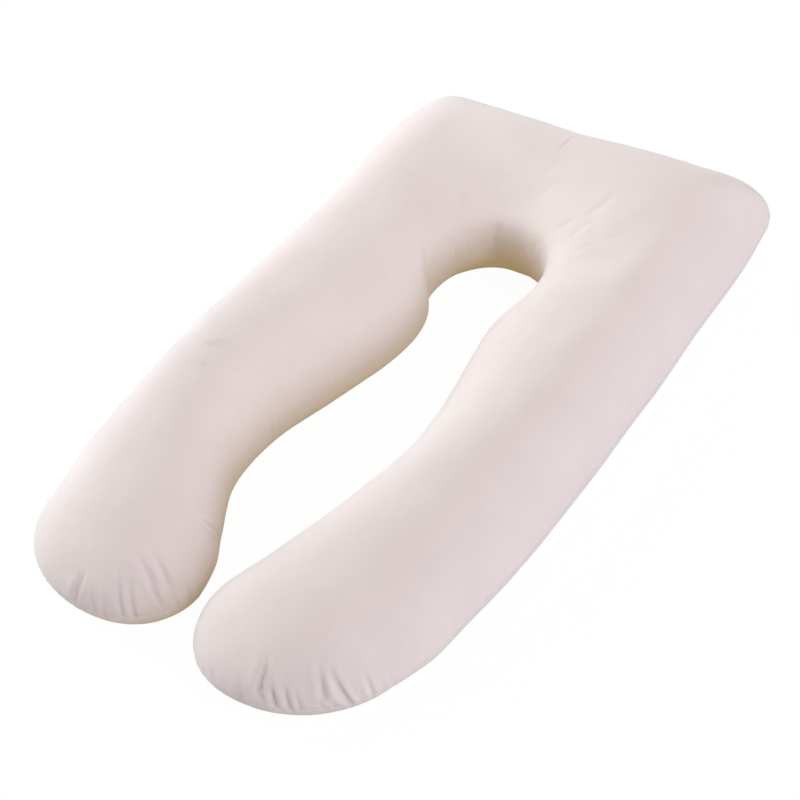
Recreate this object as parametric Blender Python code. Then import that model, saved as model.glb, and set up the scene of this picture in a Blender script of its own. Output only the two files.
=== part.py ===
"""A U-shaped body pillow: one filled cushion, sewn from a top and a bottom panel.

Its head end is square and its two legs bend inwards to round feet. The frame is +Z up, +Y to the
head end and +X to the right leg, in metres. The pillow lies on its back on Z = 0, and the origin
is the middle of its base.
"""

from collections import namedtuple
from math import sqrt

import bmesh
import bpy
from mathutils import Vector

# The cushion's cross-sections, from the middle of the head to the root of a foot. A section runs
# straight from the outer seam to the inner seam, and both legs have their own widths, because the
# filling has pushed the gap a little to one side. The x sizes are distances from the centre line.
# The rim is the plumpness of the top panel at its inner seam.
Section = namedtuple(
    "Section",
    "outer_y inner_y right_outer_x right_inner_x left_outer_x left_inner_x loft rim",
)
SECTIONS = [
    Section(*row)
    for row in (
        (0.640, 0.345, 0.000, 0.000, 0.000, 0.000, 0.213, 7.0),  # middle of the head
        (0.645, 0.340, 0.120, 0.030, 0.120, 0.030, 0.213, 7.0),
        (0.660, 0.315, 0.235, 0.080, 0.235, 0.055, 0.208, 6.5),
        (0.660, 0.265, 0.340, 0.100, 0.330, 0.080, 0.205, 5.0),  # the square corner
        (0.575, 0.200, 0.360, 0.100, 0.370, 0.080, 0.200, 3.6),
        (0.470, 0.155, 0.365, 0.090, 0.375, 0.055, 0.195, 3.1),  # the neck of the gap
        (0.350, 0.090, 0.365, 0.080, 0.365, 0.045, 0.195, 2.9),
        (0.220, 0.010, 0.370, 0.095, 0.360, 0.055, 0.195, 2.8),
        (0.070, -0.090, 0.370, 0.115, 0.355, 0.085, 0.195, 2.7),
        (-0.080, -0.200, 0.370, 0.120, 0.350, 0.115, 0.195, 2.7),  # the widest of the gap
        (-0.230, -0.310, 0.365, 0.095, 0.350, 0.110, 0.185, 2.7),
        (-0.360, -0.400, 0.350, 0.065, 0.345, 0.065, 0.175, 2.7),
        (-0.440, -0.455, 0.340, 0.045, 0.335, 0.035, 0.166, 2.7),
        (-0.510, -0.510, 0.315, 0.025, 0.320, 0.020, 0.162, 2.7),  # the root of the foot
    )
]
RIGHT_TOE = Vector((0.130, -0.640))
LEFT_TOE = Vector((-0.160, -0.630))

# The filled form.
SEAM_SHARE = 0.40  # height of the seam, as a share of the loft
OUTER_PLUMPNESS = 2.2  # 2 is an elliptical section, and more gives a broader crown
UNDERSIDE_RIM = 2.7
RIM_REACH = 3.0  # the higher, the closer to the inner seam a rim's plumpness stays
INNER_TAPER = 0.50  # 0.5 leaves the seam steeply, and more gives a leaner edge
OUTER_TAPER = 0.62
UNDERSIDE_SAG = 1.20  # over 1, so that the filling spreads flat where it rests

# The panels' grid.
STEPS_ALONG = 124
STEPS_ACROSS = 18
FOOT_SHARE = 0.17  # the share of each half's steps that falls in its foot
WELD_DISTANCE = 0.0001

CLOTH_COLOUR = (0.80, 0.74, 0.72, 1.0)
CLOTH_ROUGHNESS = 0.9


def stations():
    """The sections in order from the left foot round the head to the right foot."""
    right = [
        Vector((s.right_outer_x, s.outer_y, s.right_inner_x, s.inner_y, s.loft, s.rim))
        for s in SECTIONS
    ]
    left = [
        Vector((-s.left_outer_x, s.outer_y, -s.left_inner_x, s.inner_y, s.loft, s.rim))
        for s in SECTIONS
    ]
    return left[:0:-1] + right


def section_at(rows, place):
    """Read the rows at a fractional place, on a smooth curve that passes through each of them."""
    index = min(int(place), len(rows) - 2)
    part = place - index
    start = rows[index]
    end = rows[index + 1]
    leave = (end - rows[max(index - 1, 0)]) / 2
    arrive = (rows[min(index + 2, len(rows) - 1)] - start) / 2
    rise = part * part * (3 - 2 * part)
    return (
        start * (1 - rise)
        + end * rise
        + leave * (part * (1 - part) ** 2)
        - arrive * (part**2 * (1 - part))
    )


def cushion_point(rows, along, across, on_top):
    """A point of one panel.

    along runs from -1 at the left toe to 1 at the right toe, and across from -1 at the inner seam
    to 1 at the outer seam. Past its root a foot's square patch of grid is rounded to a half disc.
    """
    leg_end = 1 - FOOT_SHARE
    on_leg = max(-1.0, min(1.0, along / leg_end))
    beyond = max(0.0, abs(along) - leg_end) / FOOT_SHARE
    place = (on_leg + 1) / 2 * (len(rows) - 1)
    outer_x, outer_y, inner_x, inner_y, loft, rim = section_at(rows, place)
    middle = Vector((outer_x + inner_x, outer_y + inner_y)) / 2
    half_width = Vector((outer_x - inner_x, outer_y - inner_y)) / 2
    toe = (RIGHT_TOE if along > 0 else LEFT_TOE) - middle
    plan = middle
    plan = plan + toe * beyond * sqrt(1 - across**2 / 2)
    plan = plan + half_width * across * sqrt(1 - beyond**2 / 2)

    outward = (across + 1) / 2
    rim = rim if on_top else UNDERSIDE_RIM
    plumpness = OUTER_PLUMPNESS + (rim - OUTER_PLUMPNESS) * (1 - outward) ** RIM_REACH
    taper = INNER_TAPER + (OUTER_TAPER - INNER_TAPER) * outward
    fullness = max(0.0, (1 - abs(across) ** plumpness) * (1 - beyond**plumpness)) ** taper
    seam_height = SEAM_SHARE * loft
    if on_top:
        height = seam_height + (loft - seam_height) * fullness
    else:
        height = max(0.0, seam_height * (1 - UNDERSIDE_SAG * fullness))
    return Vector((plan.x, plan.y, height))


def add_panel(bm, rows, on_top):
    """Bend a flat grid to one panel of the cover."""
    grid = bmesh.ops.create_grid(bm, x_segments=STEPS_ALONG, y_segments=STEPS_ACROSS, size=1.0)
    for vert in grid["verts"]:
        vert.co = cushion_point(rows, vert.co.x, vert.co.y, on_top)


def centre_on_base(bm):
    """Move the form so that the middle of its box is on the origin, with its base on Z = 0."""
    xs = [vert.co.x for vert in bm.verts]
    ys = [vert.co.y for vert in bm.verts]
    middle = Vector((max(xs) + min(xs), max(ys) + min(ys), 0.0)) / 2
    bmesh.ops.translate(bm, verts=bm.verts, vec=-middle)


def cloth_material():
    material = bpy.data.materials.new("cotton_cover")
    material.use_nodes = True
    shader = material.node_tree.nodes["Principled BSDF"]
    shader.inputs["Base Color"].default_value = CLOTH_COLOUR
    shader.inputs["Roughness"].default_value = CLOTH_ROUGHNESS
    shader.inputs["Metallic"].default_value = 0.0
    return material


def make_pillow():
    """Sew the two panels into one closed cushion."""
    rows = stations()
    bm = bmesh.new()
    add_panel(bm, rows, on_top=True)
    add_panel(bm, rows, on_top=False)
    bmesh.ops.remove_doubles(bm, verts=bm.verts, dist=WELD_DISTANCE)
    bmesh.ops.recalc_face_normals(bm, faces=bm.faces)
    centre_on_base(bm)
    mesh = bpy.data.meshes.new("pillow")
    bm.to_mesh(mesh)
    bm.free()
    mesh.shade_smooth()
    mesh.materials.append(cloth_material())
    return bpy.data.objects.new("pillow", mesh)


def main():
    for old in list(bpy.data.objects):
        bpy.data.objects.remove(old)
    collection = bpy.data.collections.new("body_pillow")
    bpy.context.scene.collection.children.link(collection)
    collection.objects.link(make_pillow())


main()
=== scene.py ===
# %% [markdown]
# A U-shaped body pillow
#
# The real pillow is one long cushion bent round on itself: a top and a bottom panel of soft cotton,
# cut to the same U-shaped outline, sewn together all round and filled. This notebook starts from
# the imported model, which gives the pillow's place and size, and makes the cushion as a maker would:
# draw the form, cut the cloth a little flatter than it, sew, fill, and only then look at gathers,
# seam and weave.

import math
from collections import namedtuple

import bpy
import numpy as np
from mathutils import Matrix, Vector, noise
from mathutils.kdtree import KDTree


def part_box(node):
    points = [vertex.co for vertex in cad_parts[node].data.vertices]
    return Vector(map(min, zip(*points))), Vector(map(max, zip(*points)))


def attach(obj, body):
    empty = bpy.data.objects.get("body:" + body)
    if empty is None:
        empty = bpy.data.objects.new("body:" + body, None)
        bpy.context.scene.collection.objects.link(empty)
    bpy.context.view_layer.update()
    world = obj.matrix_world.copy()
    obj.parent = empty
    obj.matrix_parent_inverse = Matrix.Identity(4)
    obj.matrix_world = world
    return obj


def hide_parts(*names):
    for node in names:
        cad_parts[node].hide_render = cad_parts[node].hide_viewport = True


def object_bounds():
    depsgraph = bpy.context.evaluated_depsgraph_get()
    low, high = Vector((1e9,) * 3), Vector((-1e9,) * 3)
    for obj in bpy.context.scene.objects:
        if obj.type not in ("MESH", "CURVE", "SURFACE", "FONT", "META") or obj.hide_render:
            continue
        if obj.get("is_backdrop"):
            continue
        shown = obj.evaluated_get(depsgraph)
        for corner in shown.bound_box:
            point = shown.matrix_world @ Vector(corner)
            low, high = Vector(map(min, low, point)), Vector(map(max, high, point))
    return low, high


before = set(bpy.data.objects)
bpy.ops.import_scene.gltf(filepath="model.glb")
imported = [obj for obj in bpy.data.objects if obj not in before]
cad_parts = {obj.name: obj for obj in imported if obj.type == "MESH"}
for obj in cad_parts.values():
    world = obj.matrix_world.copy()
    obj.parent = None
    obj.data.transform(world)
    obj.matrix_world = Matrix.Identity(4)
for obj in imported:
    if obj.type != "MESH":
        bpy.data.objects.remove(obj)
cad_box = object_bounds()
solid_low, solid_high = (np.array(corner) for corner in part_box("pillow"))
print("room for the pillow, m:", (solid_high - solid_low).round(3))

# %% [markdown]
# The camera
#
# A product picture of a pillow is taken with a slightly long lens from above the feet, so that both
# legs and the inside of the arch show. The camera is given by the point it looks at, the direction
# it looks from and its tilt about its own axis, because those are easy to read off a picture.

# %% Place the camera
AIM = (-0.0175, -0.009, 0.0035)
VIEW_AZIMUTH = 37.4  # degrees: 0 looks from the feet, 90 from the right leg
VIEW_ELEVATION = 43.7
VIEW_ROLL = -5.8
VIEW_DISTANCE = 2.525
SENSOR_MM = 36.0
LENS_MM = 68.2


def direction(azimuth, elevation):
    """From the pillow towards a viewer or a lamp, for angles in degrees."""
    turn = math.radians(azimuth)
    rise = math.radians(elevation)
    level = math.cos(rise)
    return Vector((math.sin(turn) * level, -math.cos(turn) * level, math.sin(rise)))


lens = bpy.data.cameras.new("camera")
lens.sensor_width = SENSOR_MM
lens.lens = LENS_MM
camera = bpy.data.objects.new("camera", lens)
bpy.context.scene.collection.objects.link(camera)
back = direction(VIEW_AZIMUTH, VIEW_ELEVATION)
facing = back.to_track_quat("Z", "Y").to_matrix()
facing = facing @ Matrix.Rotation(math.radians(VIEW_ROLL), 3, "Z")
camera.matrix_world = Matrix.Translation(Vector(AIM) + back * VIEW_DISTANCE) @ facing.to_4x4()
bpy.context.scene.camera = camera
print("camera at", [round(x, 3) for x in camera.matrix_world.translation])

# %% [markdown]
# The form of the cushion
#
# A filled cushion is easiest to describe by slices across it. Each row below is one slice, from the
# middle of the head down to where a foot begins: where its outer and its inner seam lie, and how
# high the filling stands. The last two columns are the pull of the arch: round the inside of the
# bend the cloth is short, so there it runs tight, 1 in the middle of the head and 0 further down a
# leg. On the right it drops sooner but lasts further down, because the ridge of that leg runs on
# into the head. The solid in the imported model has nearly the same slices, so this piece fits its
# place. A smooth curve through the rows gives every slice in between.

# %% Slices across the head and the legs
Slice = namedtuple(
    "Slice",
    "outer_y inner_y right_outer right_inner left_outer left_inner loft right_pull left_pull",
)
SLICES = [
    Slice(*row)
    for row in (
        (0.647, 0.331, 0.000, 0.000, 0.000, 0.000, 0.216, 1.0, 1.0),  # middle of the head
        (0.651, 0.327, 0.120, 0.029, 0.120, 0.029, 0.217, 0.8, 1.0),
        (0.660, 0.303, 0.235, 0.078, 0.235, 0.053, 0.215, 0.5, 0.9),
        (0.660, 0.257, 0.340, 0.101, 0.330, 0.077, 0.210, 0.3, 0.7),  # the square corner
        (0.575, 0.196, 0.360, 0.104, 0.370, 0.079, 0.200, 0.3, 0.4),
        (0.470, 0.153, 0.365, 0.098, 0.375, 0.055, 0.195, 0.3, 0.2),  # the neck of the gap
        (0.350, 0.089, 0.365, 0.088, 0.365, 0.045, 0.195, 0.2, 0.1),
        (0.220, 0.010, 0.370, 0.099, 0.360, 0.055, 0.195, 0.1, 0.0),
        (0.070, -0.090, 0.370, 0.115, 0.355, 0.085, 0.195, 0.0, 0.0),
        (-0.080, -0.200, 0.370, 0.120, 0.350, 0.115, 0.195, 0.0, 0.0),  # the widest of the gap
        (-0.230, -0.310, 0.365, 0.095, 0.350, 0.110, 0.185, 0.0, 0.0),
        (-0.360, -0.400, 0.350, 0.065, 0.345, 0.065, 0.175, 0.0, 0.0),
        (-0.440, -0.455, 0.340, 0.045, 0.335, 0.035, 0.166, 0.0, 0.0),
        (-0.510, -0.510, 0.315, 0.025, 0.320, 0.020, 0.162, 0.0, 0.0),  # the root of the foot
    )
]
RIGHT_TOE = (0.130, -0.640)
LEFT_TOE = (-0.160, -0.630)


def slices_in_order():
    """From the left foot to the right foot: outer x and y, inner x and y, loft, pull."""
    right = [
        (s.right_outer, s.outer_y, s.right_inner, s.inner_y, s.loft, s.right_pull) for s in SLICES
    ]
    left = [
        (-s.left_outer, s.outer_y, -s.left_inner, s.inner_y, s.loft, s.left_pull) for s in SLICES
    ]
    return np.array(left[:0:-1] + right)


def slice_at(rows, place):
    """Read the rows at fractional places, on a smooth curve that passes through each of them."""
    index = np.clip(place.astype(int), 0, len(rows) - 2)
    part = (place - index)[..., None]
    start = rows[index]
    end = rows[index + 1]
    leave = (end - rows[np.maximum(index - 1, 0)]) / 2
    arrive = (rows[np.minimum(index + 2, len(rows) - 1)] - start) / 2
    rise = part**2 * (3 - 2 * part)
    curve = leave * part * (1 - part) ** 2 - arrive * part**2 * (1 - part)
    return start * (1 - rise) + end * rise + curve


rows = slices_in_order()
print(len(rows), "slices; the head's loft is", rows[len(rows) // 2, 4], "m")

# %% [markdown]
# From slices to two panels
#
# Each panel is a sheet of squares bent to the form: `along` runs from -1 at the left toe to 1 at
# the right toe, and `across` from -1 at the inner seam to 1 at the outer seam. Where a leg ends,
# the square sheet is rounded to a half disc, so that the foot has no pole. The seam runs round at
# two fifths of the height. Above it the top panel swells like a loaf, and below it the underside
# curves in and lies flat where the filling's weight presses it on the floor. The pull of the arch
# does three things: it lifts the seam, draws the top panel down towards it, and turns the edge
# between the two into a tight lip.

# %% Bend a sheet of squares to a panel
FOOT_SHARE = 0.17  # the share of each half's squares that lies in its foot
LEG_END = 1 - FOOT_SHARE
SEAM_SHARE = 0.40  # height of the seam, as a share of the loft
OUTER_PLUMPNESS = 2.2  # 2 is an ellipse, and more gives a broader crown
INNER_PLUMPNESS = 2.7
INNER_TAPER = 0.50  # 0.5 leaves the seam steeply, and more gives a leaner edge
OUTER_TAPER = 0.62
UNDERSIDE_SAG = 1.20  # over 1, so that the filling spreads flat where it rests
FOOT_PLUMPNESS = 1.8  # lower than across the leg, so that the foot slopes down to its toe
ARCH_PLUMPNESS = 10.0
ARCH_REACH = 4.0  # the higher, the closer to the inner seam the plumpness of the arch stays
ARCH_SEAM_LIFT = 0.12  # as a share of the loft
ARCH_DIP = 0.42  # how far the top panel comes down at the arch, as a share of its rise
DIP_ACROSS = (0.70, 0.02)  # from where it starts to come down to where it is all the way down


def ramp(value, start, end):
    """A smooth step from 0 at start to 1 at end."""
    share = np.clip((value - start) / (end - start), 0, 1)
    return share**2 * (3 - 2 * share)


def panel_points(along, across, on_top):
    """Points of one panel, for arrays of places along and across it."""
    on_leg = np.clip(along / LEG_END, -1, 1)
    beyond = np.maximum(0, np.abs(along) - LEG_END) / FOOT_SHARE
    here = slice_at(rows, (on_leg + 1) / 2 * (len(rows) - 1))
    outer, inner, loft = here[..., 0:2], here[..., 2:4], here[..., 4]
    middle = (outer + inner) / 2
    toe = np.where(along[..., None] > 0, RIGHT_TOE, LEFT_TOE) - middle
    plan = middle + toe * (beyond * np.sqrt(1 - across**2 / 2))[..., None]
    plan = plan + (outer - inner) / 2 * (across * np.sqrt(1 - beyond**2 / 2))[..., None]

    outward = (across + 1) / 2
    pull = here[..., 5]
    lip = INNER_PLUMPNESS + (ARCH_PLUMPNESS - INNER_PLUMPNESS) * pull * on_top
    reach = 1 + (ARCH_REACH - 1) * pull
    plumpness = OUTER_PLUMPNESS + (lip - OUTER_PLUMPNESS) * (1 - outward) ** reach
    taper = INNER_TAPER + (OUTER_TAPER - INNER_TAPER) * outward
    room = (1 - np.abs(across) ** plumpness) * (1 - beyond**FOOT_PLUMPNESS)
    fullness = np.maximum(0, room) ** taper
    seam_height = (SEAM_SHARE + ARCH_SEAM_LIFT * pull * (1 - outward)) * loft
    if on_top:
        fullness = fullness * (1 - ARCH_DIP * pull * ramp(outward, *DIP_ACROSS))
        height = seam_height + (loft - seam_height) * fullness
    else:
        height = np.maximum(0, seam_height * (1 - UNDERSIDE_SAG * fullness))
    return np.concatenate([plan, height[..., None]], axis=-1)


middle_crown = panel_points(np.zeros(1), np.zeros(1), on_top=True)[0]
print("the crown in the middle of the head, m:", middle_crown.round(3))

# %% [markdown]
# Two sheets of squares
#
# Both panels start as the same sheet of squares. Even squares would waste points on the crown,
# which is nearly flat, so they are made narrower towards the two seams, where the cloth turns most.
# The finished form is moved so that, seen from above, the middle of its box is at the origin.

# %% Bend both sheets to the form
SQUARES_ALONG = 400
SQUARES_ACROSS = 30
EDGE_DENSITY = 0.55  # above 0, squares at a seam are narrower than those on the crown

steps_along = np.linspace(-1, 1, SQUARES_ALONG + 1)
even_steps = np.linspace(-1, 1, SQUARES_ACROSS + 1)
steps_across = even_steps + EDGE_DENSITY * np.sin(math.pi * even_steps) / math.pi
ALONG, ACROSS = np.meshgrid(steps_along, steps_across, indexing="ij")
top_form = panel_points(ALONG, ACROSS, on_top=True)
under_form = panel_points(ALONG, ACROSS, on_top=False)
form_low = top_form.min(axis=(0, 1))
form_high = top_form.max(axis=(0, 1))
to_middle = (form_low + form_high) / 2 * (1, 1, 0)
top_form -= to_middle
under_form -= to_middle
print("the form, m:", (form_high - form_low * (1, 1, 0)).round(3))

# %% [markdown]
# One skin from two sheets
#
# The two sheets have the same squares, so sewing them is only a matter of numbering: the points on
# the border are shared, and the underside gets new numbers for the points inside its border. A list
# that holds each point once can then be read back as two sheets, with `points[top_number]`.

# %% Number the points of both sheets
inside = np.zeros(ALONG.shape, bool)
inside[1:-1, 1:-1] = True
top_number = np.arange(ALONG.size).reshape(ALONG.shape)
under_number = top_number.copy()
under_number[inside] = ALONG.size + np.arange(inside.sum())


def sewn(top, under):
    """One list of points from two sheets; on the seam, halfway between both."""
    border = ~inside
    both = top.copy()
    both[border] = (top[border] + under[border]) / 2
    return np.concatenate([both.reshape(ALONG.size, -1), under[inside]])


def squares(number):
    """The corners of each square of a sheet, in order round it."""
    corners = (number[:-1, :-1], number[1:, :-1], number[1:, 1:], number[:-1, 1:])
    return np.stack(corners, axis=-1).reshape(-1, 4)


seam_loop = np.concatenate(
    [top_number[:, -1], top_number[-1, -2::-1], top_number[-2::-1, 0], top_number[0, 1:-1]]
)
form = sewn(top_form, under_form)
print(len(form), "points,", len(seam_loop), "of them on the seam")

# %% [markdown]
# The cut cloth
#
# Cloth is cut flat and the filling then domes it, so the width of the cut is the length of cloth
# over the dome, not the width that is seen from above. Walking from the middle of a slice out to
# its seam and adding up the steps gives that length. `loft_kept` says how much of the dome is left:
# 0 gives the flat cut, which later carries the weave, and a share between 0 and 1 gives a cushion
# that is filled less. The cut is what makes a real pillow crease: laid out flat, the seam round a
# foot is longer than on the filled pillow, and the seam of the arch is shorter.

# %% Measure the cloth from the crown to the seam
WALK_STEPS = 16
TINY = 1e-9  # put under a division, so that nothing is divided by 0
root = np.clip(ALONG, -LEG_END, LEG_END)
past_root = ALONG - root


def laid_out(on_top, loft_kept):
    """A sheet with part of its dome pressed out, and no cloth stretched from crown to seam."""
    crown = panel_points(root, ACROSS * 0, on_top)
    before = crown
    walked = np.zeros(ALONG.shape)
    for share in np.linspace(0, 1, WALK_STEPS + 1)[1:]:
        here = panel_points(root + past_root * share, ACROSS * share, on_top)
        step = here - before
        level = (step**2).sum(axis=-1) - (loft_kept * step[..., 2]) ** 2
        walked = walked + np.sqrt(np.maximum(0, level))
        before = here
    outward = (before - crown)[..., :2]
    reach = np.maximum(TINY, np.linalg.norm(outward, axis=-1, keepdims=True))
    plan = crown[..., :2] + outward / reach * walked[..., None]
    return np.concatenate([plan, loft_kept * before[..., 2:]], axis=-1) - to_middle


top_cut = laid_out(on_top=True, loft_kept=0.0)
under_cut = laid_out(on_top=False, loft_kept=0.0)
print("the top panel's cut, m:", np.ptp(top_cut, axis=(0, 1)).round(3))

# %% [markdown]
# Sewing the skin
#
# The shared numbers make one closed mesh of both sheets. The flat cut goes with it as a map, like
# the pattern pieces on the bolt of cloth, because that is where the weave will be drawn later. Each
# point also remembers its place on the sheet.

# %% Make the skin as a mesh with its cut as a map
UNDERSIDE_SHIFT = 2.0  # metres between the two panels on the bolt of cloth

mesh = bpy.data.meshes.new("pillow_cover")
faces = np.concatenate([squares(top_number), squares(under_number)[:, ::-1]])
mesh.from_pydata(form.tolist(), [], faces.tolist())
if mesh.polygons[0].normal.z < 0:
    mesh.flip_normals()
cover = bpy.data.objects.new("pillow_cover", mesh)
bpy.context.scene.collection.objects.link(cover)

on_bolt = np.zeros((len(form) * 2, 2))
on_bolt[top_number] = top_cut[..., :2]
on_bolt[under_number + len(form)] = under_cut[..., :2] + (UNDERSIDE_SHIFT, 0)
corner_point = np.empty(len(mesh.loops), int)
mesh.loops.foreach_get("vertex_index", corner_point)
corner_point[len(corner_point) // 2 :] += len(form)
cloth_map = mesh.uv_layers.new(name="cloth")
cloth_map.uv.foreach_set("vector", on_bolt[corner_point].astype(np.float32).ravel())
for name, sheet in (("along", ALONG), ("across", ACROSS)):
    values = sewn(sheet[..., None], sheet[..., None])
    mesh.attributes.new(name, "FLOAT", "POINT").data.foreach_set("value", values.ravel())
print(len(mesh.polygons), "squares of cloth")

# %% [markdown]
# Reading, writing and softening points
#
# Blender hands over all the points of a mesh as one long row of numbers, which is far quicker than
# asking for them one by one. Softening a sheet replaces each value by half of itself and half of
# the mean of its four neighbours. Done many times, it leaves only the slow changes.

# %% Helpers for points
def soften(sheet, passes):
    """Even out a sheet of values with their neighbours'."""
    for _ in range(passes):
        ring = np.pad(sheet, ((1, 1), (1, 1), (0, 0)), mode="edge")
        beside = ring[:-2, 1:-1] + ring[2:, 1:-1] + ring[1:-1, :-2] + ring[1:-1, 2:]
        sheet = (sheet * 4 + beside) / 8
    return sheet


def set_points(target, points):
    target.foreach_set("co", points.astype(np.float32).ravel())


def get_points(source, name="co"):
    """The points of a mesh, or another value of three numbers that each of them has."""
    values = np.empty(len(source) * 3, np.float32)
    source.foreach_get(name, values)
    return values.reshape(-1, 3).astype(float)


print("lowest corner of the skin, m:", get_points(mesh.vertices).min(axis=0).round(3))

# %% [markdown]
# Filling the sewn cover
#
# Blender's cloth simulation does what the filling does. The skin starts a little slim. The shape
# key `cut` tells the simulation how large each patch of cloth really is. Round the inside of the
# bend it is that of a cushion with only part of its loft: there the panels were cut flat, and the
# cloth that is short at the seam pulls the rest into creases that run out from the arch. Air
# pressure stands for the filling, gravity is off, and the points that lie on the floor are pinned.
# Twenty frames are enough for the cloth to pull tight.

# %% Let the filling push the cloth out
LOFT_AT_CUT = 0.60  # the share of the loft that the cut allows for
CUT_SMOOTHING = 50
BEND_ACROSS = (0.10, -0.70)  # from where the cut counts across a panel, to where it counts fully
BEND_ALONG = (0.60, 0.40)
START_SLIM = 0.004  # metres inside the form
PRESSURE = 4.0
BENDING = 0.05
FRAMES = 20
FLOOR_CONTACT = 0.0008  # points lower than this lie on the floor

in_bend = (ramp(ACROSS, *BEND_ACROSS) * ramp(np.abs(ALONG), *BEND_ALONG))[..., None]


def filled():
    """The points of the skin after the filling has pushed it out."""
    spare = [
        soften((laid_out(on_top, LOFT_AT_CUT) - sheet) * in_bend, CUT_SMOOTHING)
        for on_top, sheet in ((True, top_form), (False, under_form))
    ]
    start = form - get_points(mesh.vertices, "normal") * START_SLIM
    start[:, 2] = np.maximum(start[:, 2], 0)
    set_points(mesh.vertices, start)
    cover.shape_key_add(name="start")
    cut_key = cover.shape_key_add(name="cut")
    set_points(cut_key.data, form + sewn(*spare))
    floor_group = cover.vertex_groups.new(name="floor")
    floor_group.add(np.flatnonzero(form[:, 2] < FLOOR_CONTACT).tolist(), 1.0, "REPLACE")

    modifier = cover.modifiers.new("filling", "CLOTH")
    modifier.point_cache.frame_start = 1
    modifier.point_cache.frame_end = FRAMES
    cloth = modifier.settings
    cloth.rest_shape_key = cut_key
    cloth.vertex_group_mass = floor_group.name
    cloth.use_pressure = True
    cloth.uniform_pressure_force = PRESSURE
    cloth.effector_weights.gravity = 0
    cloth.bending_stiffness = BENDING
    for number in range(1, FRAMES + 1):
        bpy.context.scene.frame_set(number)
    evaluated = cover.evaluated_get(bpy.context.evaluated_depsgraph_get())
    points = get_points(evaluated.data.vertices)
    cover.modifiers.clear()
    cover.shape_key_clear()
    cover.vertex_groups.clear()
    bpy.context.scene.frame_set(1)
    return points


pushed = filled()
print("furthest push, mm:", round(1000 * float(np.linalg.norm(pushed - form, axis=1).max()), 1))

# %% [markdown]
# Keeping the outline
#
# The simulation gives good creases, but it also swells the whole pillow by some millimetres, and
# the outline was already right. Smoothing the movement splits it in two: the slow part, which is
# the swelling and is held to a small cap, and the quick part, which is the creases. Those are kept
# in the bend, where the cut is short, and taken out elsewhere. What lies on the floor doesn't move.

# %% Split the swelling from the creases
SWELLING_PASSES = 60
SWELLING_CAP = 0.0008
LYING_BELOW = 0.02  # from the floor up to here the cloth comes free
CREASE_GAIN = 0.5

moved = pushed - form
swelling = sewn(*(soften(moved[number], SWELLING_PASSES) for number in (top_number, under_number)))
creases = moved - swelling
size = np.maximum(TINY, np.linalg.norm(swelling, axis=1, keepdims=True))
kept = sewn(in_bend, in_bend) * CREASE_GAIN
free = ramp(form[:, 2:], 0, LYING_BELOW)
settled = form + free * (swelling * np.minimum(1, SWELLING_CAP / size) + creases * kept)
settled[:, 2] = np.maximum(settled[:, 2], 0)
print("creases, mm:", round(1000 * float(np.sqrt((creases**2).sum(axis=1).mean())), 2))

# %% [markdown]
# A finer skin with a firm seam
#
# One subdivision rounds the cloth between its points. The seam must not be rounded away, so its
# edges get a crease first.

# %% Subdivide, holding the seam
SEAM_CREASE = 0.6
SUBDIVISIONS = 1

set_points(mesh.vertices, settled)
edge_ends = np.empty(len(mesh.edges) * 2, int)
mesh.edges.foreach_get("vertices", edge_ends)
edge_ends = np.sort(edge_ends.reshape(-1, 2), axis=1)
seam_pairs = np.sort(np.stack([seam_loop, np.roll(seam_loop, -1)], axis=1), axis=1)
on_seam = np.isin(edge_ends @ (len(form), 1), seam_pairs @ (len(form), 1))
crease = mesh.attributes.new("crease_edge", "FLOAT", "EDGE")
crease.data.foreach_set("value", on_seam.astype(np.float32) * SEAM_CREASE)

finer = cover.modifiers.new("finer", "SUBSURF")
finer.levels = SUBDIVISIONS
evaluated = cover.evaluated_get(bpy.context.evaluated_depsgraph_get())
mesh = bpy.data.meshes.new_from_object(evaluated)
cover.modifiers.clear()
cover.data = mesh
mesh.name = "pillow_cover"
mesh.shade_smooth()
print(len(mesh.polygons) * 2, "triangles in the cover")

# %% [markdown]
# Places along the seam
#
# Gathers run away from the seam, so it helps to know two things for every point of the cloth: the
# nearest place on the seam, as metres along it, and how far away that is. The seam is written out
# as a string of closely spaced beads, and a search tree finds the nearest bead.

# %% Find the nearest place on the seam for every point
BEAD_SPACING = 0.001

skin = get_points(mesh.vertices)
seam = settled[seam_loop]
seam_closed = np.vstack([seam, seam[:1]])
stretch = np.linalg.norm(np.diff(seam_closed, axis=0), axis=1)
mileage = np.concatenate([[0], np.cumsum(stretch)])
seam_length = mileage[-1]
bead_place = np.arange(0, seam_length, BEAD_SPACING)
beads = np.stack([np.interp(bead_place, mileage, seam_closed[:, k]) for k in range(3)], axis=1)
tree = KDTree(len(beads))
for number, bead in enumerate(beads):
    tree.insert(bead, number)
tree.balance()
nearest = np.array([tree.find(point)[1] for point in skin])
place = bead_place[nearest]
from_seam = np.linalg.norm(skin - beads[nearest], axis=1)
above_seam = skin[:, 2] > beads[nearest, 2]


def read_values(name):
    values = np.empty(len(mesh.vertices), np.float32)
    mesh.attributes[name].data.foreach_get("value", values)
    return values.astype(float)


along = read_values("along")
across = read_values("across")


def toe_place(toe):
    """Metres along the seam at which a toe lies."""
    return bead_place[np.linalg.norm(beads[:, :2] + to_middle[:2] - toe, axis=1).argmin()]


def past(start):
    """Metres along the seam from a place to each point's own, the shorter way round."""
    return (place - start + seam_length / 2) % seam_length - seam_length / 2


print("the seam is", round(float(seam_length), 2), "m long")
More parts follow.
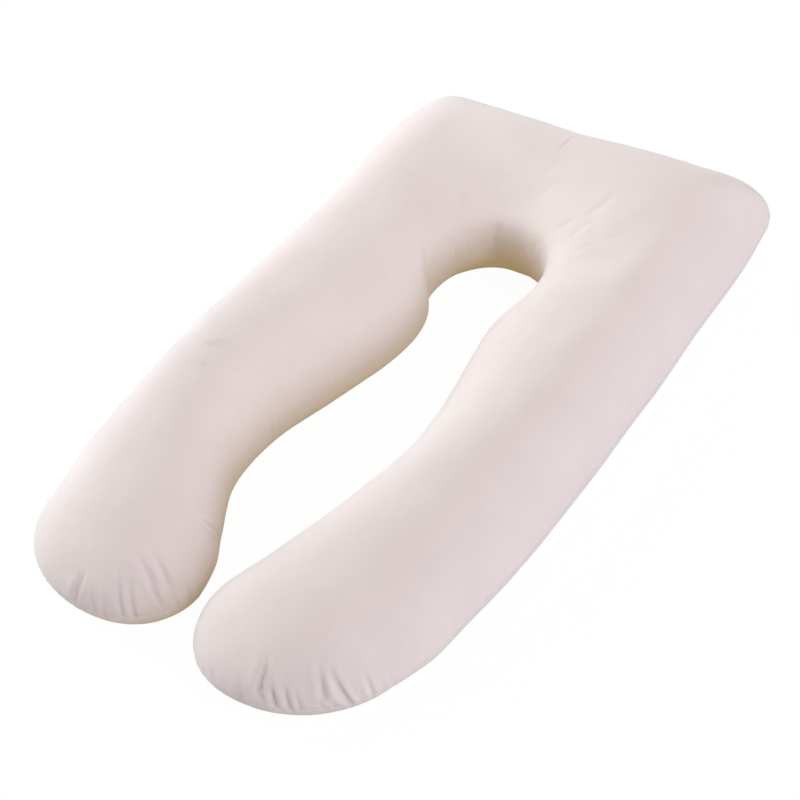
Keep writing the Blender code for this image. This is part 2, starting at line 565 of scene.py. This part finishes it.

# %% [markdown]
# Gathers
#
# Round a foot the cloth is gathered into the seam, because a straight edge was sewn round a bend.
# The gathers that a viewer notices are listed one by one. The table gives how far each lies from
# the toe along the seam, counted positive towards the outside of the leg, then where it starts and
# ends above the seam, its depth, its width and its lean.

# %% Set the gathers of the feet one by one
Gather = namedtuple("Gather", "outward start end depth width lean")
LEFT_GATHERS = [
    Gather(*row)
    for row in (
        (0.044, 0.004, 0.040, 0.0012, 0.0035, 0.80),
        (0.013, 0.004, 0.044, 0.0012, 0.0035, 0.80),
        (0.001, 0.000, 0.072, 0.0030, 0.0055, -0.26),
        (-0.036, -0.010, 0.060, 0.0018, 0.0045, 0.07),
        (-0.051, -0.012, 0.055, 0.0014, 0.0040, -0.04),
        (-0.080, -0.012, 0.095, 0.0026, 0.0055, 0.01),
        (-0.095, -0.014, 0.097, 0.0024, 0.0055, -0.03),
        (-0.138, 0.002, 0.066, 0.0018, 0.0050, 0.14),
        (-0.152, 0.040, 0.112, 0.0022, 0.0080, 0.34),
        (-0.155, 0.026, 0.098, 0.0028, 0.0070, -0.05),
        (-0.159, -0.026, 0.036, 0.0018, 0.0045, 0.15),
        (-0.186, -0.020, 0.040, 0.0020, 0.0045, 0.10),
        (-0.288, -0.006, 0.058, 0.0018, 0.0040, 0.19),
        (-0.303, -0.004, 0.070, 0.0022, 0.0040, 0.23),
        (-0.392, 0.005, 0.064, 0.0018, 0.0040, 0.50),
    )
]
RIGHT_GATHERS = [
    Gather(*row)
    for row in (
        (-0.011, 0.004, 0.042, 0.0014, 0.0045, 0.76),
        (0.020, -0.014, 0.040, 0.0024, 0.0045, -0.04),
        (0.047, 0.016, 0.088, 0.0046, 0.0062, -0.14),
        (0.075, -0.004, 0.058, 0.0032, 0.0050, 0.22),
        (0.093, -0.006, 0.060, 0.0028, 0.0048, 0.16),
        (0.106, -0.010, 0.046, 0.0022, 0.0040, 0.15),
        (0.138, 0.010, 0.080, 0.0030, 0.0060, -0.06),
        (0.168, -0.004, 0.074, 0.0026, 0.0060, 0.24),
        (0.172, -0.018, 0.050, 0.0020, 0.0045, 0.23),
        (0.207, -0.006, 0.044, 0.0010, 0.0045, 0.16),
    )
]
print(len(LEFT_GATHERS), "gathers on the left foot,", len(RIGHT_GATHERS), "on the right")

# %% [markdown]
# A gather's shape
#
# Seen across, a gather is a small valley with a ridge on either side, because the cloth that sinks
# in one place has to go somewhere. Along its length it comes up from the underside, is deepest just
# above the seam and fades towards the crown. The depths add up in one list, `relief`, that is laid
# on the cloth later.

# %% Press the gathers in
GATHER_GAIN = 1.35
GATHER_SKEW = 0.65  # below 1, so that a gather is deepest nearer its start than its end
GATHER_FADE = 1.3  # over 1, so that both ends run out gently


def valley(offset):
    """A valley with a ridge on either side, 1 deep in its middle."""
    return (1 - offset**2) * np.exp(-(offset**2) / 2)


def gather_relief(start_place, gather, height):
    """How far a gather moves each point out along its normal, in metres."""
    off = past(start_place) - gather.lean * height
    share = np.clip((height - gather.start) / (gather.end - gather.start), 0, 1)
    fade = np.sin(math.pi * share**GATHER_SKEW) ** GATHER_FADE
    return -gather.depth * GATHER_GAIN * valley(off / gather.width) * fade


RIGHT_TOE_PLACE = toe_place(RIGHT_TOE)
LEFT_TOE_PLACE = toe_place(LEFT_TOE)
up_from_seam = np.where(above_seam, from_seam, -from_seam)
relief = np.zeros(len(skin))
for gather in LEFT_GATHERS:
    relief += gather_relief(LEFT_TOE_PLACE + gather.outward, gather, up_from_seam)
for gather in RIGHT_GATHERS:
    relief += gather_relief(RIGHT_TOE_PLACE - gather.outward, gather, up_from_seam)
print("deepest gather, mm:", round(-1000 * float(relief.min()), 1))

# %% [markdown]
# Creases away from the feet
#
# A few creases lie elsewhere: short ones on the outer flank of the left leg, where the cushion was
# bent and straightened again, some at the inner edge of the right leg, slanting ones on the wall of
# the arch, where the cloth is pulled both ways, faint ones that run from the arch up the ridge of
# the right leg, and three on the head. The table gives the two ends of each as places on the top
# panel, in `along` and `across`, then its depth and its width.

# %% Set the creases one by one
Crease = namedtuple("Crease", "along across end_along end_across depth width")
CREASES = [
    Crease(*row)
    for row in (
        (-0.587, 0.60, -0.570, -0.04, 0.0036, 0.0045),  # the outer flank of the left leg
        (-0.609, 0.18, -0.580, -0.34, 0.0034, 0.0048),
        (-0.624, 0.02, -0.606, -0.29, 0.0026, 0.0042),
        (-0.552, 0.41, -0.534, 0.09, 0.0020, 0.0042),
        (0.622, -0.58, 0.618, -0.51, 0.0022, 0.0035),  # the inner edge of the right leg
        (0.591, -0.70, 0.589, -0.62, 0.0026, 0.0040),
        (0.588, -0.54, 0.581, -0.50, 0.0020, 0.0035),
        (0.547, -0.61, 0.542, -0.51, 0.0016, 0.0035),
        (0.414, -0.80, 0.401, -0.72, 0.0022, 0.0040),
        (-0.159, -0.99, -0.089, -0.98, 0.0022, 0.0036),  # the wall of the arch
        (-0.131, -0.97, -0.036, -0.98, 0.0024, 0.0036),
        (-0.096, -0.94, 0.011, -0.98, 0.0020, 0.0036),
        (0.086, -0.99, 0.109, -0.94, 0.0018, 0.0036),
        (0.131, -0.86, 0.136, -0.59, 0.0009, 0.0060),  # from the arch up the ridge
        (0.179, -0.78, 0.164, -0.47, 0.0010, 0.0070),
        (0.154, -0.63, 0.141, -0.17, 0.0010, 0.0075),
        (0.239, -0.68, 0.234, -0.44, 0.0009, 0.0060),
        (0.134, -0.37, 0.136, -0.26, 0.0007, 0.0040),
        (-0.014, -0.63, 0.044, -0.80, 0.0014, 0.0034),  # the head
        (0.006, -0.03, 0.011, 0.43, 0.0014, 0.0034),
        (-0.149, -0.62, -0.156, -0.85, 0.0012, 0.0036),
    )
]
print(len(CREASES), "creases set by hand")

# %% [markdown]
# A crease's shape
#
# Each crease is a straight valley between its two ends, deepest in its middle. On the wall of the
# arch the cloth bows away from the straight line, so the distance to it is measured sideways, along
# the cloth. Where the cloth bows away by more than a centimetre the crease fades, so that it
# doesn't come through on the other side of the leg.

# %% Press the creases in
CREASE_BOW = (0.018, 0.010)  # the bow at which a crease has faded out, and where it is still whole
CREASE_FADE = 1.2  # over 1, so that both ends run out gently
ALONG_COUNTS = 8  # a step along the sheet is about this many times as long as one across it
UNDERSIDE_MISS = 10  # large enough to keep the underside out of the choice


def skin_point(at_along, at_across):
    """The point of the top panel at a place of the sheet."""
    miss = ((along - at_along) * ALONG_COUNTS) ** 2 + (across - at_across) ** 2
    miss = miss + ~above_seam * UNDERSIDE_MISS
    return skin[miss.argmin()]


normals = get_points(mesh.vertices, "normal")
for crease in CREASES:
    start = skin_point(crease.along, crease.across)
    run = skin_point(crease.end_along, crease.end_across) - start
    share = np.clip((skin - start) @ run / (run @ run), 0, 1)
    away = skin - start - share[:, None] * run
    bow = (away * normals).sum(axis=1)
    beside = np.sqrt(np.maximum(0, (away**2).sum(axis=1) - bow**2))
    near = ramp(np.abs(bow), *CREASE_BOW)
    fade = near * np.sin(math.pi * share) ** CREASE_FADE
    relief -= crease.depth * valley(beside / crease.width) * fade
print("deepest gather or crease, mm:", round(-1000 * float(relief.min()), 1))

# %% [markdown]
# Puckers
#
# Elsewhere the machine has drawn the seam up a little, which leaves short shallow puckers all
# round, on both panels. Their places are random but seeded, so that every run gives the same.

# %% Scatter small puckers along the whole seam
PUCKER_SEED = 11
PUCKER_START = -0.004  # a little across the seam
PUCKER_END = (0.012, 0.034)  # each range in metres from the least to the most
PUCKER_DEPTH = (0.0003, 0.0009)
PUCKER_WIDTH = (0.0028, 0.0050)
PUCKER_SPACING = (0.012, 0.034)
PUCKER_LEAN = (-0.4, 0.4)

rng = np.random.default_rng(PUCKER_SEED)
pucker_count = 0
for height in (up_from_seam, -up_from_seam):
    at = 0.0
    while at < seam_length:
        end = rng.uniform(*PUCKER_END)
        depth = rng.uniform(*PUCKER_DEPTH)
        width = rng.uniform(*PUCKER_WIDTH)
        lean = rng.uniform(*PUCKER_LEAN)
        pucker = Gather(0, PUCKER_START, end, depth, width, lean)
        relief += gather_relief(at, pucker, height)
        at += rng.uniform(*PUCKER_SPACING)
        pucker_count += 1
print(pucker_count, "puckers")

# %% [markdown]
# Lumps
#
# Fibre filling is never quite even. Slow noise pushes the cloth in and out by about a millimetre,
# and quicker noise by a few tenths of one. Both leave the part alone that lies on the floor.

# %% Let the filling be uneven
LUMPS_FULL_ABOVE = 0.03  # metres above the floor
Lumps = namedtuple("Lumps", "size height")
LUMPS = (Lumps(0.110, 0.0018), Lumps(0.036, 0.0004))

for lumps in LUMPS:
    field = np.array([noise.noise(point / lumps.size) for point in skin])
    relief += field * lumps.height * np.clip(skin[:, 2] / LUMPS_FULL_ABOVE, 0, 1)
print("lumps laid on", len(skin), "points")

# %% [markdown]
# The seam itself
#
# The two panels meet in a narrow furrow: the thread pulls the cloth in, and the folded edge inside
# holds it up again on either side. Then all the relief of the last steps is laid on the cloth at
# once, each point moving along its own normal.

# %% Draw the seam in and lay the relief on
SEAM_DEPTH = 0.0007
SEAM_WIDTH = 0.0022
SEAM_ROLL = 0.0003  # how far the cloth stands up beside the furrow
SEAM_ROLL_AT = 0.0065

furrow = -SEAM_DEPTH * np.exp(-((from_seam / SEAM_WIDTH) ** 2))
roll = SEAM_ROLL * np.exp(-(((from_seam - SEAM_ROLL_AT) / (SEAM_ROLL_AT / 2)) ** 2))
relief += furrow + roll
skin = skin + normals * relief[:, None]
skin[:, 2] = np.maximum(skin[:, 2], 0)
set_points(mesh.vertices, skin)
for name, values in (("from_seam", from_seam), ("along_seam", place)):
    mesh.attributes.new(name, "FLOAT", "POINT").data.foreach_set("value", values)
mesh.update()
print("relief, mm:", (1000 * relief.min()).round(1), "to", (1000 * relief.max()).round(1))

# %% [markdown]
# The cotton
#
# The cover is plain woven cotton, washed and slightly uneven. Two sets of threads cross at right
# angles along the cut cloth, so the weave is drawn on the flat cut that was measured above, and it
# bends round with the panels as real cloth does. Each effect is a small group of nodes that gives
# out only a value: `patches` is slow, cloudy variation, `weave` the threads, and `stitches` the
# line where the machine went along the seam.

# %% Helpers for groups of nodes
def new_group(name, inputs, outputs):
    """A group of nodes with the sockets given, its input sockets and its output sockets."""
    group = bpy.data.node_groups.new(name, "ShaderNodeTree")
    for socket, kind, value in inputs:
        made = group.interface.new_socket(socket, in_out="INPUT", socket_type=kind)
        made.default_value = value
    for socket in outputs:
        group.interface.new_socket(socket, in_out="OUTPUT", socket_type="NodeSocketFloat")
    ends = [group.nodes.new(kind) for kind in ("NodeGroupInput", "NodeGroupOutput")]
    return group, ends[0].outputs, ends[1].inputs


def add_node(tree, kind, values=(), **settings):
    """Add a node, set its properties, fill its sockets with values or links, give its outputs."""
    node = tree.nodes.new(kind)
    for name, value in settings.items():
        setattr(node, name, value)
    for socket, value in dict(values).items():
        if isinstance(value, bpy.types.NodeSocket):
            tree.links.new(value, node.inputs[socket])
        else:
            node.inputs[socket].default_value = value
    return node.outputs


def calculate(tree, operation, *values):
    """The result of one sum on values or links."""
    return add_node(tree, "ShaderNodeMath", enumerate(values), operation=operation)[0]


def mix_colours(tree, share, first, second):
    """The first colour where the share is 0, and the second where it is 1."""
    values = {0: share, 6: first, 7: second}  # a Mix node's colours are its sockets 6 and 7
    return add_node(tree, "ShaderNodeMix", values, data_type="RGBA")[2]


def fade_out(tree, value, start, end):
    """1 where a value is under start, 0 where it is past end, and a smooth step between."""
    values = {"Value": value, "From Min": start, "From Max": end, "To Min": 1.0, "To Max": 0.0}
    return add_node(tree, "ShaderNodeMapRange", values, interpolation_type="SMOOTHSTEP")[0]


def use_group(tree, group, values):
    """Place a group of nodes in a tree with values of its own, and give its outputs."""
    return add_node(tree, "ShaderNodeGroup", values, node_tree=group)


def attribute(tree, name):
    """A value that each point of the mesh carries."""
    return add_node(tree, "ShaderNodeAttribute", attribute_name=name)["Fac"]


PLACE = ("Place", "NodeSocketVector", (0.0, 0.0, 0.0))
print("helpers ready; each effect reads a", PLACE[0].lower(), "on the cloth")

# %% [markdown]
# Cloudy patches
#
# Washing and handling leave every cloth a little uneven: lighter and darker, smoother and rougher,
# dented and not. One group gives all of them. It takes a place on the cloth, the size of a patch in
# metres and the two ends of its range.

# %% Build the cloudy patches
CLOUD_DETAIL = 3.0
CLOUD_LOW = 0.3  # the noise seldom falls below this or rises above the next
CLOUD_HIGH = 0.7

patches, given, made = new_group(
    "patches",
    [
        PLACE,
        ("Size", "NodeSocketFloat", 0.05),
        ("Low", "NodeSocketFloat", 0.0),
        ("High", "NodeSocketFloat", 1.0),
    ],
    ["Value"],
)
finer_by = calculate(patches, "DIVIDE", 1.0, given["Size"])
spread = add_node(
    patches, "ShaderNodeVectorMath", {0: given["Place"], "Scale": finer_by}, operation="SCALE"
)[0]
values = {"Vector": spread, "Scale": 1.0, "Detail": CLOUD_DETAIL}
cloud = add_node(patches, "ShaderNodeTexNoise", values)["Fac"]
values = {"Value": cloud, "From Min": CLOUD_LOW, "From Max": CLOUD_HIGH}
values |= {"To Min": given["Low"], "To Max": given["High"]}
ranged = add_node(patches, "ShaderNodeMapRange", values)[0]
patches.links.new(ranged, made["Value"])
print("group", patches.name, "gives", [socket.name for socket in made if socket.name])

# %% [markdown]
# The weave
#
# A thread is half a wave wide. The product of the two waves is one small cushion for each crossing,
# which is what plain weave looks like from close by. Slubs are places where a thread is thicker:
# noise that is stretched 40 times along the thread. The group also tells where the cloth is closed:
# `Gap` is 0 in a pore between the threads. Drawn this way the threads need no picture and stay
# sharp at any distance.

# %% Weave the threads
THREAD_PITCH = 0.0011
THREAD_ROUNDNESS = 0.6  # below 1, so that a thread is broad on top and steep at its sides
PORE_LIMIT = 0.25  # from this height of a crossing up, the cloth is closed
PORE_BLEND = 0.2
SLUB_WIDTH = 0.0014
SLUB_LENGTH = 0.056
SLUB_DETAIL = 1.0

weave, given, made = new_group(
    "weave", [PLACE, ("Pitch", "NodeSocketFloat", THREAD_PITCH)], ["Height", "Gap", "Slub"]
)
axes = add_node(weave, "ShaderNodeSeparateXYZ", {0: given["Place"]})
waves = []
for axis in (axes["X"], axes["Y"]):
    turns = calculate(weave, "MULTIPLY", axis, math.pi)
    waves.append(calculate(weave, "SINE", calculate(weave, "DIVIDE", turns, given["Pitch"])))
crossing = calculate(weave, "ABSOLUTE", calculate(weave, "MULTIPLY", *waves))
# Gap also masks the painted shade of the pores in the cotton's colour.
closed = calculate(weave, "SMOOTH_MIN", crossing, PORE_LIMIT, PORE_BLEND)
weave.links.new(calculate(weave, "POWER", crossing, THREAD_ROUNDNESS), made["Height"])
weave.links.new(closed, made["Gap"])
slubs = []
for slub_size in ((SLUB_LENGTH, SLUB_WIDTH, 1.0), (SLUB_WIDTH, SLUB_LENGTH, 1.0)):
    values = {0: given["Place"], 1: slub_size}
    stretched = add_node(weave, "ShaderNodeVectorMath", values, operation="DIVIDE")[0]
    values = {"Vector": stretched, "Scale": 1.0, "Detail": SLUB_DETAIL}
    slubs.append(add_node(weave, "ShaderNodeTexNoise", values)["Fac"])
weave.links.new(calculate(weave, "ADD", *slubs), made["Slub"])
print("group", weave.name, "gives", [socket.name for socket in made if socket.name])

# %% [markdown]
# The line of stitches
#
# Inside the furrow the thread pulls the cloth in at every stitch. The distance from the seam says
# where the line is, and the metres along it set the beat of the stitches.

# %% Stitch along the seam
STITCH_PITCH = 0.0032
STITCH_REACH = 0.0035

stitches, given, made = new_group(
    "stitches",
    [("From Seam", "NodeSocketFloat", 1.0), ("Along Seam", "NodeSocketFloat", 0.0)],
    ["Line", "Dimple"],
)
# The line is also the mask of the seam's painted shade, darkest in the furrow.
line = fade_out(stitches, given["From Seam"], 0.0, STITCH_REACH)
turns = calculate(stitches, "MULTIPLY", given["Along Seam"], math.pi / STITCH_PITCH)
beat = calculate(stitches, "ABSOLUTE", calculate(stitches, "SINE", turns))
stitches.links.new(line, made["Line"])
stitches.links.new(calculate(stitches, "MULTIPLY", line, beat), made["Dimple"])
print("group", stitches.name, "gives", [socket.name for socket in made if socket.name])

# %% [markdown]
# Dyeing the cloth, with painted shade in its pores and seam
#
# The cloth is an off-white with a faint pink tone. Washing leaves cloudy patches as wide as a hand,
# barely lighter and darker. The pores between the threads and the furrow of the seam are drawn a
# little darker: that darkening is painted shade, standing in for the shade that falls into them.
# Cotton fuzz catches light that grazes it, which is what sheen is for.

# %% Dye the cotton, with painted shade in its pores and seam
CLOTH_LIGHT = (0.815, 0.740, 0.720, 1)
CLOTH_DARK = (0.785, 0.708, 0.688, 1)
# The next two colours are painted shade: for the furrow of the seam and for the pores.
SEAM_SHADE = (0.62, 0.53, 0.49, 1)
PORE_SHADE = (0.70, 0.61, 0.58, 1)
DYE_PATCH = 0.10  # metres
SLUB_DARKENING = 0.10  # as shares of the darker colour
PAINTED_PORE_SHADING = 0.12
PAINTED_SEAM_SHADING = 0.12
ROUGHNESS_PATCH = 0.06  # metres
ROUGHNESS_RANGE = (0.84, 0.94)
SHEEN = 0.15
SHEEN_ROUGHNESS = 0.5
SPECULAR = 0.3

cotton = bpy.data.materials.new("cotton_cover")
cotton.use_nodes = True
tree = cotton.node_tree
shader = tree.nodes["Principled BSDF"].inputs
on_cloth = add_node(tree, "ShaderNodeUVMap", uv_map="cloth")[0]
threads = use_group(tree, weave, {"Place": on_cloth, "Pitch": THREAD_PITCH})
seam_distance = attribute(tree, "from_seam")
seam_place = attribute(tree, "along_seam")
sewing = use_group(tree, stitches, {"From Seam": seam_distance, "Along Seam": seam_place})


def patch(size, low=0.0, high=1.0):
    """A cloudy value on the cloth, with patches of a size in metres."""
    values = {"Place": on_cloth, "Size": size, "Low": low, "High": high}
    return use_group(tree, patches, values)["Value"]


dyed = mix_colours(tree, patch(DYE_PATCH), CLOTH_LIGHT, CLOTH_DARK)
slub_share = calculate(tree, "MULTIPLY", threads["Slub"], SLUB_DARKENING)
dyed = mix_colours(tree, slub_share, dyed, CLOTH_DARK)
# Painted shade: the pores between the threads are drawn darker, where shade falls between them.
closed_share = calculate(tree, "MULTIPLY", threads["Gap"], PAINTED_PORE_SHADING / PORE_LIMIT)
painted_pore_shade = calculate(tree, "SUBTRACT", PAINTED_PORE_SHADING, closed_share)
dyed = mix_colours(tree, painted_pore_shade, dyed, PORE_SHADE)
# Painted shade: the furrow of the seam is drawn darker, on top of its real dent in the mesh.
painted_seam_shade = calculate(tree, "MULTIPLY", sewing["Line"], PAINTED_SEAM_SHADING)
dyed = mix_colours(tree, painted_seam_shade, dyed, SEAM_SHADE)
tree.links.new(dyed, shader["Base Color"])
tree.links.new(patch(ROUGHNESS_PATCH, *ROUGHNESS_RANGE), shader["Roughness"])
shader["Sheen Weight"].default_value = SHEEN
shader["Sheen Roughness"].default_value = SHEEN_ROUGHNESS
shader["Specular IOR Level"].default_value = SPECULAR
mesh.materials.append(cotton)
print("material", cotton.name, "has", len(tree.nodes), "nodes")

# %% [markdown]
# Crumples, threads and stitches in relief
#
# These are too fine to be worth real points, so the shader tilts the surface for them. The filling
# shows through as soft dents of two centimetres, the cloth crumples between them, the stitches
# pull in, and the threads stand up. Each bump sits on the one before it, and its distance is a
# height in metres.

# %% Raise the crumples, the threads and the stitches
DENT_SIZE = 0.022
DENT_HEIGHT = 0.0005
CRUMPLE_SIZE = 0.008
CRUMPLE_HEIGHT = 0.00012
STITCH_DEPTH = 0.0004
SLUB_HEIGHT = 0.00004
THREAD_HEIGHT = 0.00007

Bump = namedtuple("Bump", "height distance")
normal = None
for bump in (
    Bump(patch(DENT_SIZE), DENT_HEIGHT),
    Bump(patch(CRUMPLE_SIZE), CRUMPLE_HEIGHT),
    Bump(calculate(tree, "MULTIPLY", sewing["Dimple"], -1.0), STITCH_DEPTH),
    Bump(threads["Slub"], SLUB_HEIGHT),
    Bump(threads["Height"], THREAD_HEIGHT),
):
    values = {"Height": bump.height, "Distance": bump.distance, "Strength": 1.0}
    if normal:
        values["Normal"] = normal
    normal = add_node(tree, "ShaderNodeBump", values)[0]
tree.links.new(normal, shader["Normal"])
print("material", cotton.name, "has", len(tree.nodes), "nodes with its relief")

# %% [markdown]
# The sweep of paper
#
# The cushion lies on a white sweep of paper, far wider than the cushion, so that its edge never
# shows. One flat square does for it.

# %% Lay the paper
FLOOR_HALF = 12.0

floor_mesh = bpy.data.meshes.new("floor")
corners = [(-1, -1, 0), (1, -1, 0), (1, 1, 0), (-1, 1, 0)]
floor_mesh.from_pydata([Vector(c) * FLOOR_HALF for c in corners], [], [(0, 1, 2, 3)])
floor = bpy.data.objects.new("floor", floor_mesh)
bpy.context.scene.collection.objects.link(floor)
print("paper", FLOOR_HALF * 2, "m wide")

# %% [markdown]
# The paper's two looks
#
# To the viewer the paper is white, with only a faint shadow where the cushion touches it. What the
# cushion gets back from it is dimmer, and partly painted light: the paper itself glows towards the
# cushion, grey in the open and warm in a patch between the legs, standing in for light that has been
# to and fro between cloth and paper several times. One material holds both looks and chooses by the
# kind of ray that asks.

# %% Give the paper its two looks
BLACK = (0, 0, 0, 1)
PAPER_SEEN = (0.04, 0.04, 0.04, 1)
PAPER_SEEN_GLOW = (0.97, 0.97, 0.97, 1)
PAPER_FELT = (0.18, 0.15, 0.12, 1)
# Painted light: the paper's own glow towards the cushion, grey in the open, warm between the legs.
OPEN_PAINTED_GLOW = (0.43, 0.40, 0.43, 1)
GAP_PAINTED_GLOW = (0.35, 0.28, 0.09, 1)
GAP_HALF_WIDTH = 0.12  # the warm patch between the legs, in metres
GAP_FROM = -0.66
GAP_TO = 0.42
GAP_EDGE = 0.04
PAPER_CLOUD = 0.4  # metres
PAPER_CLOUD_DARKEST = 0.05

paper = bpy.data.materials.new("floor")
paper.use_nodes = True
tree = paper.node_tree
shader = tree.nodes["Principled BSDF"].inputs
seen = add_node(tree, "ShaderNodeLightPath")["Is Camera Ray"]
on_floor = add_node(tree, "ShaderNodeTexCoord")["Object"]
values = {"Place": on_floor, "Size": PAPER_CLOUD, "Low": 0.0, "High": PAPER_CLOUD_DARKEST}
clouds = use_group(tree, patches, values)
felt = mix_colours(tree, clouds["Value"], PAPER_FELT, BLACK)
spot = add_node(tree, "ShaderNodeSeparateXYZ", {0: on_floor})


def up_to(value, limit):
    """1 up to a limit, and 0 from a soft edge past it."""
    return fade_out(tree, value, limit, limit + GAP_EDGE)


# The patch between the legs where the paper's painted glow is warm.
between_legs = up_to(calculate(tree, "ABSOLUTE", spot["X"]), GAP_HALF_WIDTH)
before_feet = up_to(calculate(tree, "MULTIPLY", spot["Y"], -1.0), -GAP_FROM)
below_head = up_to(spot["Y"], GAP_TO)
in_gap = calculate(tree, "MULTIPLY", between_legs, before_feet)
in_gap = calculate(tree, "MULTIPLY", in_gap, below_head)
# Painted light: the paper glows towards the cushion, warm only in that patch.
painted_glow = mix_colours(tree, in_gap, OPEN_PAINTED_GLOW, GAP_PAINTED_GLOW)
tree.links.new(mix_colours(tree, seen, felt, PAPER_SEEN), shader["Base Color"])
tree.links.new(mix_colours(tree, seen, painted_glow, PAPER_SEEN_GLOW), shader["Emission Color"])
shader["Emission Strength"].default_value = 1.0
shader["Roughness"].default_value = 1.0
shader["Specular IOR Level"].default_value = 0.0
floor_mesh.materials.append(paper)
floor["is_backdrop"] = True
print("material", paper.name, "has", len(tree.nodes), "nodes")

# %% [markdown]
# The light
#
# The light is soft and mostly low: a wide window on the left, weaker ones behind and on the right,
# and faint ones in front. Low light is what brings out the flanks and every gather, and leaves the
# crowns a little darker. Each lamp is a sun of a wide angle, because a sun lights both ends of a
# long cushion alike.

# %% Set the lamps round the cushion
Lamp = namedtuple("Lamp", "azimuth elevation strength colour")
LAMPS = [
    Lamp(270, 4, 2.53, (0.91, 0.97, 1.00)),  # the window on the left
    Lamp(270, 20, 0.72, (0.72, 0.86, 1.00)),
    Lamp(270, 45, 0.66, (1.00, 0.86, 0.73)),
    Lamp(225, 4, 1.17, (0.83, 0.97, 1.00)),  # behind, to the left
    Lamp(135, 4, 0.94, (1.00, 0.96, 0.99)),  # behind, to the right
    Lamp(90, 12, 0.66, (0.86, 0.91, 1.00)),  # from the right
    Lamp(90, 45, 1.10, (1.00, 0.88, 0.91)),
    Lamp(0, 20, 0.22, (1.00, 0.50, 0.20)),  # in front
    Lamp(45, 20, 0.60, (0.70, 0.89, 1.00)),
    Lamp(315, 20, 0.72, (0.86, 0.95, 1.00)),
]
LAMP_SPREAD = 30  # degrees

for number, lamp in enumerate(LAMPS):
    light = bpy.data.lights.new(f"lamp_{number}", "SUN")
    light.energy = lamp.strength
    light.color = lamp.colour
    light.angle = math.radians(LAMP_SPREAD)
    holder = bpy.data.objects.new(light.name, light)
    towards = direction(lamp.azimuth, lamp.elevation)
    holder.rotation_euler = towards.to_track_quat("Z", "Y").to_euler()
    bpy.context.scene.collection.objects.link(holder)
print(len(LAMPS), "lamps")

# %% [markdown]
# The softbox and the room
#
# A softbox hangs over the head end, so that the light falls off towards the feet. The room behind
# is as white as the paper to the viewer, but adds only a little grey light of its own.

# %% Hang the softbox and whiten the room
ROOM_LIGHT = (0.04, 0.04, 0.04, 1)
ROOM_SEEN = (1, 1, 1, 1)
SOFTBOX_AT = (0.0, 0.45, 2.2)
SOFTBOX_SIZE = 1.2
SOFTBOX_POWER = 9.3
SOFTBOX_COLOUR = (0.92, 0.93, 0.87)

softbox = bpy.data.lights.new("softbox", "AREA")
softbox.energy = SOFTBOX_POWER
softbox.color = SOFTBOX_COLOUR
softbox.size = SOFTBOX_SIZE
holder = bpy.data.objects.new(softbox.name, softbox)
holder.location = SOFTBOX_AT
bpy.context.scene.collection.objects.link(holder)
world = bpy.data.worlds.new("room")
world.use_nodes = True
tree = world.node_tree
seen = add_node(tree, "ShaderNodeLightPath")["Is Camera Ray"]
room = mix_colours(tree, seen, ROOM_LIGHT, ROOM_SEEN)
tree.links.new(room, tree.nodes["Background"].inputs["Color"])
bpy.context.scene.world = world
bpy.context.scene.view_settings.view_transform = "Standard"
print("softbox of", SOFTBOX_SIZE, "m at", SOFTBOX_AT)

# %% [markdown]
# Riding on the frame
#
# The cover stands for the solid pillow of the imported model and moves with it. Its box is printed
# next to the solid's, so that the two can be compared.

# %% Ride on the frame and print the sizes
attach(cover, "root")
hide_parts("pillow")
boxes = {"cad": cad_box, "visual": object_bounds()}
for name, box in boxes.items():
    print(name, "box, m:", [[round(x, 3) for x in corner] for corner in box])
